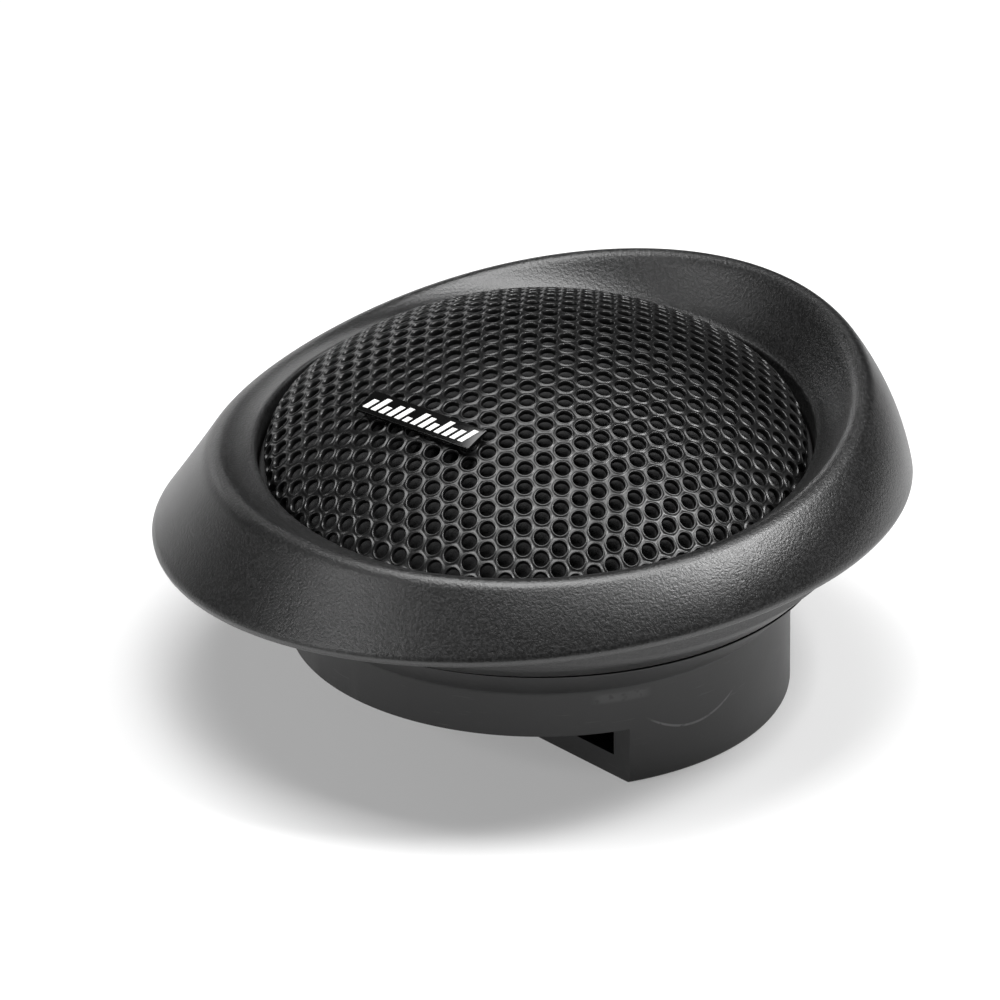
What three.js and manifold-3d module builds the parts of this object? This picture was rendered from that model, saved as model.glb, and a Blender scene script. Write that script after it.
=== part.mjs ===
// Car dome tweeter in an angled surface-mount housing.
//
// Millimetres, +Z up. The origin is on the cup's axis at its rear face, +Z points along the axis to
// the listener, and +X and +Y are the housing's right and back as it stands with the badge in front.
// The bezel, its grille and the parts that sit in its mouth share an axis a little left of the cup's.

import * as THREE from 'three';
import { mergeVertices } from 'three/addons/utils/BufferGeometryUtils.js';
import Module from 'manifold-3d';

const wasm = await Module();
wasm.setup();

// ---- Driving dimensions ----

const CUP_RADIUS = 20.7;
const CUP_BOTTOM = 5.0;
const COLLAR_START = 9.0;
const COLLAR_TOP = 12.0;
const WALL = 1.6;
const EDGE_BREAK = 0.2;

const CHAMBER_FLAT_OFFSET = 7.7;
const CHAMBER_FLAT_ANGLE = THREE.MathUtils.degToRad(222.7);
const WINDOW_WIDTH = 9.0;
const WINDOW_SILL = 1.9;
const WINDOW_FROM_CORNER = 1.9;

const BEZEL_CENTRE_X = -0.3;
const BEZEL_BOTTOM = 12.3;
const CONE_TOP_RADIUS = 26.2;
const MOUTH_RADIUS = 23.0;
const CREST_RADIUS = 26.9;
const SKIRT_RADIUS = 31.35;
const SKIRT_SHIFT_X = -0.3;
const SKIRT_WALL = 1.75;

const MOUTH_SHELF_RADIUS = 24.0;
const SEAT_RIDGE_RADIUS = 27.0;
const CREST = { level: 24.2, rightRise: 3.25, backRise: 1.25, twist: 1.13 };
const CREST_DIP = { depth: 0.45, angle: 2.45, sharpness: 8 };
const SKIRT_EDGE = { level: 15.4, rightRise: 2.76, backRise: -1.55 };
const SLOPE_SWELL = { level: 0.3, side: 0.45, angle: 0.35, outward: 0.8, upward: 0.6 };
const MOUTH_LEVEL = 21.85;
const MOUTH_LEAN = { x: 0.029, y: 0.048 };
const GRILLE_LEAN = { x: 0.021, y: 0.103 };
const GRILLE_RADIUS = 22.4;
const GRILLE_FOOT = 19.8;
const GRILLE_CENTRE_HEIGHT = 5.65;
const GRILLE_SEMI_RADIUS = 29.88;
const GRILLE_SEMI_HEIGHT = 24.0;
const GRILLE_SHEET = 0.6;
const GRILLE_SHOULDER = 0.9;
const CLOTH_RADIUS = 21.2;
const CLOTH_DEPTH = 1.3;
const CLOTH_THICKNESS = 0.4;
const CLOTH_SHOULDER = 0.5;
const RETAINER_BORE = 20.6;
const RETAINER_BOTTOM = 18.0;
const RETAINER_TOP = 19.6;

const BADGE_LENGTH = 12.2;
const BADGE_HEIGHT = 2.4;
const BADGE_THICKNESS = 0.45;
const BADGE_SLANT = 0.2;
const BADGE_X = -9.3;
const BADGE_Y = -7.0;
const BADGE_TURN = THREE.MathUtils.degToRad(-39.6);

const GASKET_BORE = 21.6;
const SCREW_CIRCLE = 18.6;
const SCREW_ANGLES = [90, 210, 330].map(THREE.MathUtils.degToRad);
const POST_RADIUS = 1.9;
const PILOT_RADIUS = 0.95;

const FLANGE_RADIUS = 22.3;
const FLANGE_BOTTOM = 12.5;
const FLANGE_TOP = 14.0;
const HUB_RADIUS = 16.7;
const HUB_BORE = 15.1;
const HUB_TOP = 17.3;

const YOKE_RADIUS = 15.0;
const YOKE_BORE = 13.4;
const YOKE_BOTTOM = 9.6;
const YOKE_TOP = 17.1;
const YOKE_FLOOR = 2.0;
const MAGNET_RADIUS = 11.2;
const MAGNET_TOP = 15.0;
const POLE_RADIUS = 11.95;
const POLE_FELT_RADIUS = 10.5;
const POLE_FELT_THICKNESS = 0.8;
const REAR_FOAM_RADIUS = 14.0;
const REAR_FOAM_BOTTOM = 7.1;

const COIL_BORE = 12.5;
const COIL_WALL = 0.4;
const COIL_BOTTOM = 14.9;
const COIL_TOP = 17.2;
const FORMER_WALL = 0.15;
const FORMER_BOTTOM = 14.0;
const DIAPHRAGM_RADIUS = 12.6;
const DIAPHRAGM_BASE = 17.95;
const DIAPHRAGM_RISE = 6.2;
const SURROUND_RADIUS = 14.4;
const CLAMP_BORE = 14.5;
const CLAMP_RADIUS = 16.5;
const CLAMP_THICKNESS = 1.0;
const NOTCH_HEIGHT = 1.2;

const RIVET_X = 18.2;
const RIVET_Y = 2.6;
const RIVET_RADIUS = 0.6;
const BOARD_X = 17.95;
const BOARD_LENGTH = 3.9;
const BOARD_WIDTH = 8.4;
const BOARD_TOP = FLANGE_BOTTOM - 0.2;
const BOARD_THICKNESS = 1.0;
const TAB_INNER_X = 16.4;
const TAB_OUTER_X = 19.6;
const TAB_THICKNESS = 0.5;
const TAB_WIDTH = 2.2;
const TAB_DROP = 5.4;

const GAP = 0.1;
const HALF_TURN = Math.PI;
const FULL_TURN = 2 * Math.PI;

// ---- Looks ----

const satinBlack = { color: 0x2a2a2b, roughness: 0.62, metalness: 0 };
const smoothBlack = { color: 0x242425, roughness: 0.5, metalness: 0 };
const paintedSteel = { color: 0x39393a, roughness: 0.5, metalness: 0.3 };
const blackCloth = { color: 0x101011, roughness: 0.95, metalness: 0 };
const glossBlack = { color: 0x0b0b0c, roughness: 0.25, metalness: 0 };
const zincSteel = { color: 0xa9adb1, roughness: 0.35, metalness: 1 };
const nickel = { color: 0xc5c4bd, roughness: 0.25, metalness: 1 };
const silk = { color: 0x1b1b1f, roughness: 0.7, metalness: 0 };
const aluminium = { color: 0xc9cacd, roughness: 0.3, metalness: 1 };
const copper = { color: 0xb5673a, roughness: 0.35, metalness: 1 };
const brass = { color: 0xc2a254, roughness: 0.35, metalness: 1 };
const phenolic = { color: 0x6b4526, roughness: 0.6, metalness: 0 };
const foam = { color: 0x1d1d1d, roughness: 1, metalness: 0 };
const felt = { color: 0x4a4a4c, roughness: 1, metalness: 0 };
const filmBlue = { color: 0x1d3f7a, roughness: 0.4, metalness: 0 };

const tweeter = new THREE.Group();

function add(name, geometry, look, parent = tweeter) {
  const mesh = new THREE.Mesh(geometry, new THREE.MeshStandardMaterial(look));
  mesh.name = name;
  parent.add(mesh);
  return mesh;
}

// ---- Solids ----

// A closed profile of [radius, height] pairs, anticlockwise, turned about +Z.
function turned(profile, segments) {
  const points = profile.map(([radius, height]) => new THREE.Vector2(radius, height));
  return new THREE.LatheGeometry(points, segments).rotateX(HALF_TURN / 2);
}

function ring(innerRadius, outerRadius, bottom, top, segments = 40) {
  const section = [
    [innerRadius, bottom],
    [outerRadius, bottom],
    [outerRadius, top],
    [innerRadius, top],
    [innerRadius, bottom],
  ];
  return turned(section, segments);
}

function disc(radius, bottom, top, segments = 40) {
  return turned([[0, bottom], [radius, bottom], [radius, top], [0, top]], segments);
}

function box(sizeX, sizeY, sizeZ, x, y, z) {
  return new THREE.BoxGeometry(sizeX, sizeY, sizeZ).translate(x, y, z);
}

function wire(points, radius, steps) {
  const path = new THREE.CatmullRomCurve3(points.map(([x, y, z]) => new THREE.Vector3(x, y, z)));
  const section = new THREE.Shape().absarc(0, 0, radius, 0, FULL_TURN);
  return new THREE.ExtrudeGeometry(section, { extrudePath: path, steps, curveSegments: 4 });
}

function solidOf(geometry) {
  const bare = geometry.clone();
  bare.deleteAttribute('normal');
  bare.deleteAttribute('uv');
  const welded = mergeVertices(bare, 1e-4);
  const corners = welded.index.array;
  const triangles = [];
  for (let i = 0; i < corners.length; i += 3) {
    const [a, b, c] = corners.slice(i, i + 3);
    if (a !== b && b !== c && c !== a) triangles.push(a, b, c);
  }
  const vertProperties = welded.attributes.position.array;
  const triVerts = new Uint32Array(triangles);
  return new wasm.Manifold(new wasm.Mesh({ numProp: 3, vertProperties, triVerts }));
}

function geometryOf(solid) {
  const mesh = solid.getMesh();
  const geometry = new THREE.BufferGeometry();
  geometry.setAttribute('position', new THREE.BufferAttribute(mesh.vertProperties, 3));
  geometry.setIndex(new THREE.BufferAttribute(mesh.triVerts, 1));
  geometry.computeVertexNormals();
  return geometry;
}

const cut = (geometry, ...tools) =>
  geometryOf(tools.reduce((solid, tool) => solid.subtract(solidOf(tool)), solidOf(geometry)));

// ---- Mounting cup: bucket, 45 degree collar and the D-shaped rear chamber, one moulding ----

// Everything beyond a flat that faces CHAMBER_FLAT_ANGLE, between two heights.
function beyondFlat(offset, bottom, top) {
  const size = 3 * CUP_RADIUS;
  return box(size, size, top - bottom, offset + size / 2, 0, (bottom + top) / 2).rotateZ(CHAMBER_FLAT_ANGLE);
}

function windowTool() {
  const halfChord = Math.sqrt(CUP_RADIUS ** 2 - CHAMBER_FLAT_OFFSET ** 2);
  const along = halfChord - WINDOW_FROM_CORNER - WINDOW_WIDTH / 2;
  const height = CUP_BOTTOM - WINDOW_SILL;
  const depth = 3 * WALL;
  const slot = box(depth, WINDOW_WIDTH, height, CHAMBER_FLAT_OFFSET, along, WINDOW_SILL + height / 2);
  return slot.rotateZ(CHAMBER_FLAT_ANGLE);
}

function mountingCup() {
  const collarBore = CUP_RADIUS - WALL * Math.SQRT2;
  const boreTop = COLLAR_START + (CUP_RADIUS - WALL - collarBore);
  const collarReach = COLLAR_TOP - COLLAR_START;
  const outside = turned([
    [0, 0],
    [CUP_RADIUS - EDGE_BREAK, 0],
    [CUP_RADIUS, EDGE_BREAK],
    [CUP_RADIUS, COLLAR_START],
    [CUP_RADIUS + collarReach, COLLAR_TOP],
    [0, COLLAR_TOP],
  ], 60);
  const bucketFloor = CUP_BOTTOM + WALL;
  const bucket = turned([
    [0, bucketFloor],
    [CUP_RADIUS - WALL, bucketFloor],
    [CUP_RADIUS - WALL, boreTop],
    [collarBore + collarReach + WALL, COLLAR_TOP + WALL],
    [0, COLLAR_TOP + WALL],
  ], 60);
  const chamber = solidOf(disc(CUP_RADIUS - WALL, WALL, bucketFloor + WALL, 60))
    .subtract(solidOf(beyondFlat(CHAMBER_FLAT_OFFSET - WALL, 0, 2 * CUP_BOTTOM)));
  let cup = solidOf(outside)
    .subtract(solidOf(beyondFlat(CHAMBER_FLAT_OFFSET, -1, CUP_BOTTOM)))
    .subtract(solidOf(bucket))
    .subtract(chamber)
    .subtract(solidOf(windowTool()));
  for (const angle of SCREW_ANGLES) {
    const x = SCREW_CIRCLE * Math.cos(angle);
    const y = SCREW_CIRCLE * Math.sin(angle);
    const overChamber = Math.cos(angle - CHAMBER_FLAT_ANGLE) * SCREW_CIRCLE < CHAMBER_FLAT_OFFSET;
    const foot = overChamber ? WALL / 2 : bucketFloor - WALL / 2;
    const post = disc(POST_RADIUS, foot, FLANGE_BOTTOM - GAP, 16).translate(x, y, 0);
    const pilot = disc(PILOT_RADIUS, COLLAR_START - 2, FLANGE_TOP, 12).translate(x, y, 0);
    cup = cup.add(solidOf(post)).subtract(solidOf(pilot));
  }
  return geometryOf(cup);
}

add('mounting_cup', mountingCup(), smoothBlack);

// ---- Seat gasket, front plate and its screws ----

function frontPlate() {
  const plate = turned([
    [HUB_BORE, FLANGE_BOTTOM],
    [FLANGE_RADIUS, FLANGE_BOTTOM],
    [FLANGE_RADIUS, FLANGE_TOP],
    [HUB_RADIUS, FLANGE_TOP],
    [HUB_RADIUS, HUB_TOP],
    [HUB_BORE, HUB_TOP],
    [HUB_BORE, FLANGE_BOTTOM],
  ], 48);
  const holes = SCREW_ANGLES.map((angle) => disc(PILOT_RADIUS + GAP, FLANGE_BOTTOM - 1, FLANGE_TOP + 1, 12)
    .translate(SCREW_CIRCLE * Math.cos(angle), SCREW_CIRCLE * Math.sin(angle), 0));
  const rivetHoles = [-RIVET_Y, RIVET_Y].map((y) =>
    disc(RIVET_RADIUS + GAP, FLANGE_BOTTOM - 1, FLANGE_TOP + 1, 12).translate(RIVET_X, y, 0));
  return cut(plate, ...holes, ...rivetHoles);
}

add('seat_gasket', ring(GASKET_BORE, FLANGE_RADIUS - GAP, COLLAR_TOP, FLANGE_BOTTOM), foam);
add('front_plate', frontPlate(), satinBlack);

const SCREW_HEAD_RADIUS = 1.7;
const SCREW_HEAD_HEIGHT = 1.1;
const SCREW_LENGTH = 5.5;
SCREW_ANGLES.forEach((angle, index) => {
  const shank = PILOT_RADIUS - GAP;
  const screw = turned([
    [0, FLANGE_TOP - SCREW_LENGTH],
    [shank, FLANGE_TOP - SCREW_LENGTH + shank],
    [shank, FLANGE_TOP],
    [SCREW_HEAD_RADIUS, FLANGE_TOP],
    [SCREW_HEAD_RADIUS - 0.3, FLANGE_TOP + SCREW_HEAD_HEIGHT],
    [0, FLANGE_TOP + SCREW_HEAD_HEIGHT],
  ], 12);
  screw.translate(SCREW_CIRCLE * Math.cos(angle), SCREW_CIRCLE * Math.sin(angle), 0);
  add(`driver_screw_${index + 1}`, screw, zincSteel);
});

// ---- Motor: pot yoke, magnet disc and pole plate ----

const yokeSection = [
  [0, YOKE_BOTTOM],
  [YOKE_RADIUS - 2 * EDGE_BREAK, YOKE_BOTTOM],
  [YOKE_RADIUS, YOKE_BOTTOM + 2 * EDGE_BREAK],
  [YOKE_RADIUS, YOKE_TOP],
  [YOKE_BORE, YOKE_TOP],
  [YOKE_BORE, YOKE_BOTTOM + YOKE_FLOOR],
  [0, YOKE_BOTTOM + YOKE_FLOOR],
];
add('yoke_pot', turned(yokeSection, 48), zincSteel);
add('magnet_disc', disc(MAGNET_RADIUS, YOKE_BOTTOM + YOKE_FLOOR, MAGNET_TOP), nickel);
add('pole_plate', disc(POLE_RADIUS, MAGNET_TOP, YOKE_TOP, 48), zincSteel);
add('pole_felt', disc(POLE_FELT_RADIUS, YOKE_TOP, YOKE_TOP + POLE_FELT_THICKNESS), felt);
add('rear_foam', disc(REAR_FOAM_RADIUS, REAR_FOAM_BOTTOM, YOKE_BOTTOM), foam);

// ---- Moving assembly: dome, roll surround, coil former and coil ----

function domeShell() {
  const thickness = 0.25;
  const shell = (radius, rise, base, from, to) => {
    const curvature = (radius ** 2 + rise ** 2) / (2 * rise);
    const points = [];
    const count = 7;
    for (let i = 0; i <= count; i++) {
      const r = from + (to - from) * i / count;
      points.push([r, base + rise - curvature + Math.sqrt(curvature ** 2 - r ** 2)]);
    }
    return points;
  };
  const outside = shell(DIAPHRAGM_RADIUS, DIAPHRAGM_RISE, DIAPHRAGM_BASE + thickness, DIAPHRAGM_RADIUS, 0);
  const inside = shell(DIAPHRAGM_RADIUS, DIAPHRAGM_RISE, DIAPHRAGM_BASE, 0, DIAPHRAGM_RADIUS - 2 * thickness);
  const skirt = [[DIAPHRAGM_RADIUS, DIAPHRAGM_BASE]];
  return turned([...inside, ...skirt, ...outside], 36);
}

function rollSurround() {
  const inner = DIAPHRAGM_RADIUS + GAP;
  const outer = SURROUND_RADIUS;
  const middle = (inner + outer) / 2;
  const radius = (outer - inner) / 2;
  const thickness = 0.2;
  const base = DIAPHRAGM_BASE + GAP / 2;
  const count = 6;
  const arc = (r, direction) => Array.from({ length: count + 1 }, (_, i) => {
    const angle = direction > 0 ? HALF_TURN * i / count : HALF_TURN * (1 - i / count);
    return [middle + r * Math.cos(angle), base + r * Math.sin(angle)];
  });
  const section = [...arc(radius, 1), ...arc(radius - thickness, -1)];
  return turned([...section, section[0]], 40);
}

add('dome_diaphragm', domeShell(), silk);
add('surround', rollSurround(), silk);
const formerRadius = COIL_BORE - GAP / 2;
const former = ring(formerRadius - FORMER_WALL, formerRadius, FORMER_BOTTOM, DIAPHRAGM_BASE - GAP / 2);
add('voice_coil_former', former, aluminium);
add('voice_coil', ring(COIL_BORE, COIL_BORE + COIL_WALL, COIL_BOTTOM, COIL_TOP), copper);

// The clamp ring holds the surround's edge, and has a notch for each lead.
const clampMiddle = (CLAMP_BORE + CLAMP_RADIUS) / 2;
const clampRing = ring(CLAMP_BORE, CLAMP_RADIUS, HUB_TOP, HUB_TOP + CLAMP_THICKNESS);
const leadNotches = [-RIVET_Y, RIVET_Y].map((y) =>
  box(2 * (CLAMP_RADIUS - CLAMP_BORE), NOTCH_HEIGHT, NOTCH_HEIGHT, clampMiddle, y, HUB_TOP));
add('surround_clamp', cut(clampRing, ...leadNotches), satinBlack);

// ---- Terminals under the flange, leads and the inline capacitor ----

const boardHoles = [-RIVET_Y, RIVET_Y].map((y) =>
  disc(RIVET_RADIUS + GAP, BOARD_TOP - 2 * BOARD_THICKNESS, FLANGE_TOP, 12).translate(RIVET_X, y, 0));
const boardMiddle = BOARD_TOP - BOARD_THICKNESS / 2;
const board = box(BOARD_LENGTH, BOARD_WIDTH, BOARD_THICKNESS, BOARD_X, 0, boardMiddle);
add('terminal_board', cut(board, ...boardHoles), phenolic);

function terminalTab(y) {
  const top = BOARD_TOP - BOARD_THICKNESS - GAP;
  const blade = new THREE.Shape([
    new THREE.Vector2(TAB_OUTER_X, top),
    new THREE.Vector2(TAB_INNER_X, top),
    new THREE.Vector2(TAB_INNER_X, top - TAB_DROP),
    new THREE.Vector2(TAB_INNER_X + TAB_THICKNESS, top - TAB_DROP),
    new THREE.Vector2(TAB_INNER_X + TAB_THICKNESS, top - TAB_THICKNESS),
    new THREE.Vector2(TAB_OUTER_X, top - TAB_THICKNESS),
  ]);
  const strip = new THREE.ExtrudeGeometry(blade, { depth: TAB_WIDTH, bevelEnabled: false });
  strip.rotateX(HALF_TURN / 2).translate(0, y + TAB_WIDTH / 2, 0);
  return cut(strip, disc(RIVET_RADIUS + GAP, top - TAB_DROP, FLANGE_TOP, 12).translate(RIVET_X, y, 0));
}

function rivet(y) {
  const headRadius = 1.2;
  const foot = BOARD_TOP - BOARD_THICKNESS - TAB_THICKNESS - 2 * GAP;
  return turned([
    [0, foot - 0.4],
    [headRadius, foot - 0.4],
    [headRadius, foot],
    [RIVET_RADIUS, foot],
    [RIVET_RADIUS, FLANGE_TOP],
    [headRadius, FLANGE_TOP],
    [headRadius - 0.3, FLANGE_TOP + 0.5],
    [0, FLANGE_TOP + 0.5],
  ], 12).translate(RIVET_X, y, 0);
}

function tinselLead(y) {
  const route = [
    [13.3, y, 17.6],
    [14.6, y, 17.62],
    [16.2, y, 17.65],
    [17.2, y, 17.3],
    [17.7, y, 16.2],
    [18.0, y, 14.8],
  ];
  return wire(route, 0.15, 14);
}

for (const [sign, y] of [['plus', RIVET_Y], ['minus', -RIVET_Y]]) {
  add(`terminal_tab_${sign}`, terminalTab(y), brass);
  add(`terminal_rivet_${sign}`, rivet(y), brass);
  add(`tinsel_lead_${sign}`, tinselLead(y), copper);
}

const CAPACITOR_RADIUS = 2.5;
const CAPACITOR_LENGTH = 10.0;
const CAPACITOR_X = 8.5;
const CAPACITOR_Z = 4.3;
const capacitorSection = [
  [0, -CAPACITOR_LENGTH / 2],
  [CAPACITOR_RADIUS - EDGE_BREAK, -CAPACITOR_LENGTH / 2],
  [CAPACITOR_RADIUS, -CAPACITOR_LENGTH / 2 + EDGE_BREAK],
  [CAPACITOR_RADIUS, CAPACITOR_LENGTH / 2 - EDGE_BREAK],
  [CAPACITOR_RADIUS - EDGE_BREAK, CAPACITOR_LENGTH / 2],
  [0, CAPACITOR_LENGTH / 2],
];
const capacitor = turned(capacitorSection, 20).rotateX(HALF_TURN / 2).translate(CAPACITOR_X, 0, CAPACITOR_Z);
add('crossover_capacitor', capacitor, filmBlue);

const capacitorEnd = CAPACITOR_LENGTH / 2 + GAP;
const leadToTab = [
  [CAPACITOR_X, capacitorEnd, CAPACITOR_Z],
  [CAPACITOR_X + 0.6, capacitorEnd + 1.6, CAPACITOR_Z],
  [CAPACITOR_X + 3.2, capacitorEnd + 1.4, CAPACITOR_Z + 0.3],
  [14.4, 3.4, 5.4],
  [15.9, RIVET_Y, 6.4],
];
const leadToWindow = [
  [CAPACITOR_X, -capacitorEnd, CAPACITOR_Z],
  [CAPACITOR_X - 0.3, -capacitorEnd - 2.0, CAPACITOR_Z - 0.2],
  [CAPACITOR_X - 1.4, -capacitorEnd - 4.0, CAPACITOR_Z - 0.5],
  [5.2, -11.2, 3.6],
];
add('capacitor_lead_out', wire(leadToTab, 0.3, 14), zincSteel);
add('capacitor_lead_in', wire(leadToWindow, 0.3, 12), zincSteel);

// ---- Grille, cloth and retainer: domed and flat rings that lean back and to the right ----

const mouthPlane = (x, y) => MOUTH_LEAN.x * x + MOUTH_LEAN.y * y;
const grillePlane = (x, y) => GRILLE_LEAN.x * x + GRILLE_LEAN.y * y;

function leaning(geometry) {
  const position = geometry.attributes.position;
  for (let i = 0; i < position.count; i++) {
    const rise = grillePlane(position.getX(i), position.getY(i));
    position.setZ(i, position.getZ(i) + rise);
  }
  return geometry;
}

// Height of the grille's outer face, sunk by depth, at a distance from its axis.
function grilleHeight(radius, depth = 0) {
  const along = radius / (GRILLE_SEMI_RADIUS - depth);
  return GRILLE_CENTRE_HEIGHT + (GRILLE_SEMI_HEIGHT - depth) * Math.sqrt(1 - along ** 2);
}

// A domed sheet with a turned-down edge: outer face sunk by depth, wall of the given thickness.
function domedSheet(radius, foot, depth, thickness, shoulder, steps, segments) {
  const face = (edge, sunk) => {
    const points = [[edge, grilleHeight(edge, sunk) - shoulder]];
    for (let i = 0; i <= steps; i++) {
      const r = (edge - 0.6 * shoulder) * Math.cos((HALF_TURN / 2) * i / steps);
      points.push([i === steps ? 0 : r, grilleHeight(r, sunk)]);
    }
    return points;
  };
  const outside = face(radius, depth);
  const inside = face(radius - thickness, depth + thickness).reverse();
  return turned([...inside, [radius - thickness, foot], [radius, foot], ...outside], segments);
}

const mouthParts = new THREE.Group();
mouthParts.position.x = BEZEL_CENTRE_X;
tweeter.add(mouthParts);

const grille = domedSheet(GRILLE_RADIUS, GRILLE_FOOT, 0, GRILLE_SHEET, GRILLE_SHOULDER, 8, 60);
const clothFoot = RETAINER_TOP + GAP;
const cloth = domedSheet(CLOTH_RADIUS, clothFoot, CLOTH_DEPTH, CLOTH_THICKNESS, CLOTH_SHOULDER, 5, 40);
const retainer = ring(RETAINER_BORE, MOUTH_RADIUS - GAP, RETAINER_BOTTOM, RETAINER_TOP, 48);
add('grille_mesh', leaning(grille), paintedSteel, mouthParts);
add('dust_cloth', leaning(cloth), blackCloth, mouthParts);
add('grille_retainer', leaning(retainer), smoothBlack, mouthParts);

// ---- Badge plate: a thin flat parallelogram stuck on the grille, square to the dome at its middle ----

function badgePlate() {
  const plate = new THREE.BoxGeometry(BADGE_LENGTH, BADGE_HEIGHT, BADGE_THICKNESS);
  const position = plate.attributes.position;
  for (let i = 0; i < position.count; i++) {
    position.setX(i, position.getX(i) + BADGE_SLANT * position.getY(i) / BADGE_HEIGHT);
  }
  const radius = Math.hypot(BADGE_X, BADGE_Y);
  const middle = new THREE.Vector3(BADGE_X, BADGE_Y, grilleHeight(radius) + grillePlane(BADGE_X, BADGE_Y));
  const flattening = (GRILLE_SEMI_HEIGHT / GRILLE_SEMI_RADIUS) ** 2;
  const steepness = flattening / (grilleHeight(radius) - GRILLE_CENTRE_HEIGHT);
  const out = new THREE.Vector3(BADGE_X * steepness - GRILLE_LEAN.x, BADGE_Y * steepness - GRILLE_LEAN.y, 1);
  out.normalize();
  const along = new THREE.Vector3(Math.cos(BADGE_TURN), Math.sin(BADGE_TURN), 0);
  along.addScaledVector(out, -along.dot(out)).normalize();
  const up = new THREE.Vector3().crossVectors(out, along);
  const place = new THREE.Matrix4().makeBasis(along, up, out);
  place.setPosition(middle.addScaledVector(out, BADGE_THICKNESS / 2 + GAP));
  return plate.applyMatrix4(place);
}

add('badge_plate', badgePlate(), glossBlack, mouthParts);

// ---- Bezel ring: mouth, bowl, crest and slanted skirt, lathed and then lifted angle by angle ----

// Heights of the bezel's three driving rings at an angle about its axis.
const mouthHeight = (angle) =>
  MOUTH_LEVEL + mouthPlane(MOUTH_RADIUS * Math.cos(angle), MOUTH_RADIUS * Math.sin(angle));
// The crest dips a little at its back left.
const crestDip = (angle) =>
  CREST_DIP.depth * Math.max(0, Math.cos(angle - CREST_DIP.angle)) ** CREST_DIP.sharpness;
const ringHeight = (ring, angle) =>
  ring.level + ring.rightRise * Math.cos(angle) + ring.backRise * Math.sin(angle);
const crestHeight = (angle) =>
  ringHeight(CREST, angle) + CREST.twist * Math.sin(2 * angle) - crestDip(angle);
const skirtHeight = (angle) => ringHeight(SKIRT_EDGE, angle);
// The outer slope swells on the high side and hollows a little on the low side.
const slopeSwell = (angle) => SLOPE_SWELL.level + SLOPE_SWELL.side * Math.cos(angle - SLOPE_SWELL.angle);

// A point of the section is a mix of the mouth, crest and skirt rings plus an offset outward and up.
const mix = (mouth, crest, skirt, out = 0, up = 0, swell = 0) => ({ mouth, crest, skirt, out, up, swell });
const fixed = (radius, height) => mix(0, 0, 0, radius, height);

function bezelSection() {
  const slopeMiddle = (CREST_RADIUS + SKIRT_RADIUS) / 2;
  const section = [
    fixed(MOUTH_RADIUS, BEZEL_BOTTOM),
    fixed(MOUTH_SHELF_RADIUS, BEZEL_BOTTOM),
    fixed(CONE_TOP_RADIUS, BEZEL_BOTTOM + CONE_TOP_RADIUS - MOUTH_SHELF_RADIUS),
    mix(0, 0.5, 0.5, CONE_TOP_RADIUS - slopeMiddle, 0.2),
    mix(0, 0.5, 0.5, SEAT_RIDGE_RADIUS - slopeMiddle, 0.4),
    mix(0, 0, 1, -SKIRT_WALL, 0.15),
    mix(0, 0, 1, -0.9, 0),
    mix(0, 0, 1, -0.25, 0.2),
    mix(0, 0, 1, 0, 0.8),
  ];
  for (const part of [0.2, 0.4, 0.6, 0.8]) {
    section.push(mix(0, part, 1 - part, 0, 0.8 * (1 - part), 4 * part * (1 - part)));
  }
  const rounding = 5;
  const slopeShare = 0.16;
  const bowlShare = 0.25;
  for (let i = 0; i <= rounding; i++) {
    const t = i / rounding;
    const skirt = slopeShare * (1 - t) ** 2;
    const mouth = bowlShare * t ** 2;
    section.push(mix(mouth, 1 - mouth - skirt, skirt, 0, 0.8 * skirt));
  }
  section.push(mix(0.6, 0.4, 0, 0, -0.1));
  section.push(mix(1, 0, 0, 0.25, 0));
  section.push(mix(1, 0, 0, 0, -0.4));
  section.push(section[0]);
  return section;
}

function bezelRing() {
  const section = bezelSection();
  const radiusOf = (p) => p.mouth * MOUTH_RADIUS + p.crest * CREST_RADIUS + p.skirt * SKIRT_RADIUS + p.out;
  const geometry = turned(section.map((p) => [radiusOf(p), 0]), 72);
  const position = geometry.attributes.position;
  for (let i = 0; i < position.count; i++) {
    const p = section[i % section.length];
    const angle = Math.atan2(position.getY(i), position.getX(i));
    const height = p.mouth * mouthHeight(angle) + p.crest * crestHeight(angle) + p.skirt * skirtHeight(angle);
    const swell = p.swell * slopeSwell(angle);
    const radius = radiusOf(p) + SLOPE_SWELL.outward * swell;
    const x = radius * Math.cos(angle) + p.skirt * SKIRT_SHIFT_X;
    position.setXYZ(i, x, radius * Math.sin(angle), height + p.up + SLOPE_SWELL.upward * swell);
  }
  return geometry;
}

add('bezel_ring', bezelRing(), satinBlack, mouthParts);

export default tweeter;
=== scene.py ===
import math

import bmesh
import bpy
import numpy as np
from mathutils import Matrix, Vector


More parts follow.
